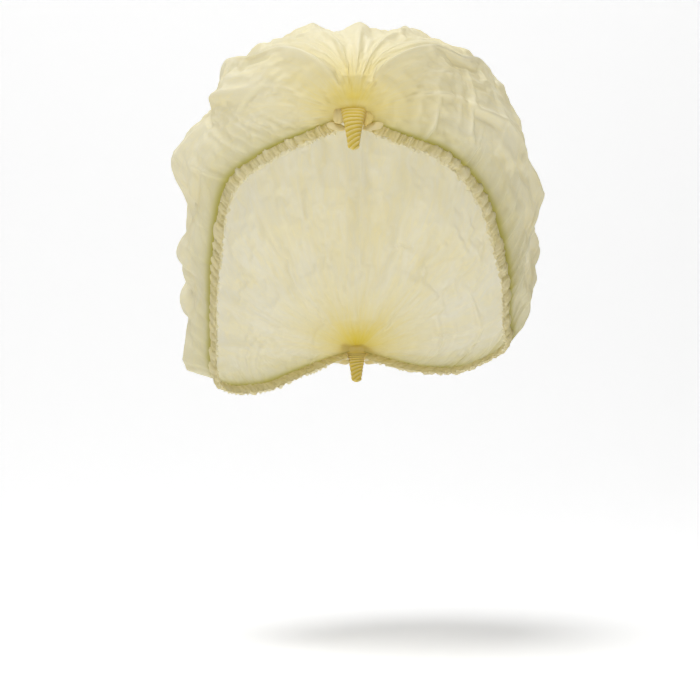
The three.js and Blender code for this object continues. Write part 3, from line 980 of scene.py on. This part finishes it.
def sweep_points():
    """A floor that curves up into a backdrop: a line, a quarter circle and a line, drawn out sideways."""
    front, floor_z, behind, top, half_width, corner = -2.5, -0.335, 1.6, 3.0, 3.0, 0.8
    turn = np.linspace(0, np.pi / 2, 24)
    profile = np.concatenate([
        [(front, floor_z)],
        np.stack([behind - corner + corner * np.sin(turn), floor_z + corner - corner * np.cos(turn)], -1),
        [(behind, top)],
    ])
    x = np.linspace(-half_width, half_width, 5)
    return np.stack(np.broadcast_arrays(x[None, :], profile[:, :1], profile[:, 1:]), -1)


def white_paper(colour):
    """Matt white background paper, lit a little from within so that it stays nearly white in the shade."""
    paper = bpy.data.materials.new("white_paper")
    paper.use_nodes = True
    surface = paper.node_tree.nodes["Principled BSDF"]
    surface.inputs["Base Color"].default_value = linear(colour)
    surface.inputs["Roughness"].default_value = 0.9
    surface.inputs["Emission Color"].default_value = (1.0, 1.0, 1.0, 1.0)
    surface.inputs["Emission Strength"].default_value = 0.33
    return paper


class CAP_OT_stage(bpy.types.Operator):
    """Set out the pale floor and backdrop, the soft light and the camera at the photo's angle"""

    bl_idname = "cap.stage"
    bl_label = "Build stage"

    def execute(self, context):
        points = sweep_points()
        sweep = surface_object("floor", points, points[..., :2])
        sweep.data.materials.append(white_paper(context.scene.cap_colours.stage))

        middle = (0.0, 0.0, -0.09)
        soft_light("key", (-0.3, -0.75, 1.35), middle, width=0.9, power=27)
        soft_light("fill", (-0.3, -1.6, 0.4), middle, width=1.2, power=2.5)
        world = bpy.data.worlds.new("studio")
        world.use_nodes = True
        world.node_tree.nodes["Background"].inputs["Color"].default_value = (1.0, 1.0, 1.0, 1.0)
        world.node_tree.nodes["Background"].inputs["Strength"].default_value = 0.1
        context.scene.world = world

        data = bpy.data.cameras.new("camera")
        data.lens = CAMERA_LENS
        data.sensor_width = CAMERA_SENSOR
        camera = bpy.data.objects.new("camera", data)
        aim(camera, CAMERA_PLACE, np.array(CAMERA_PLACE) + (0, 1, 0))
        context.scene.camera = camera
        context.scene.view_settings.view_transform = "Standard"
        return {"FINISHED"}


class CAP_PT_panel(bpy.types.Panel):
    """Lists the cap's sizes, colours and build steps"""

    bl_idname = "CAP_PT_panel"
    bl_label = "Hair Cover Cap"
    bl_space_type = "VIEW_3D"
    bl_region_type = "UI"
    bl_category = "Hair Cap"

    def draw(self, context):
        for settings in (context.scene.cap_sizes, context.scene.cap_colours):
            for name in settings.bl_rna.properties.keys():
                if name not in ("rna_type", "name"):
                    self.layout.prop(settings, name)
        for step in STEPS:
            self.layout.operator(step.bl_idname)


STEPS = (CAP_OT_crown, CAP_OT_hems, CAP_OT_tabs, CAP_OT_stage)
CLASSES = (CapSizes, CapColours, *STEPS, CAP_PT_panel)


def register():
    for each in CLASSES:
        bpy.utils.register_class(each)
    bpy.types.Scene.cap_sizes = PointerProperty(type=CapSizes)
    bpy.types.Scene.cap_colours = PointerProperty(type=CapColours)


def unregister():
    del bpy.types.Scene.cap_sizes
    del bpy.types.Scene.cap_colours
    for each in reversed(CLASSES):
        bpy.utils.unregister_class(each)


def main():
    register()
    bpy.ops.cap.crown()
    bpy.ops.cap.hems()
    bpy.ops.cap.tabs()
    bpy.ops.cap.stage()


if __name__ == "__main__":
    main()
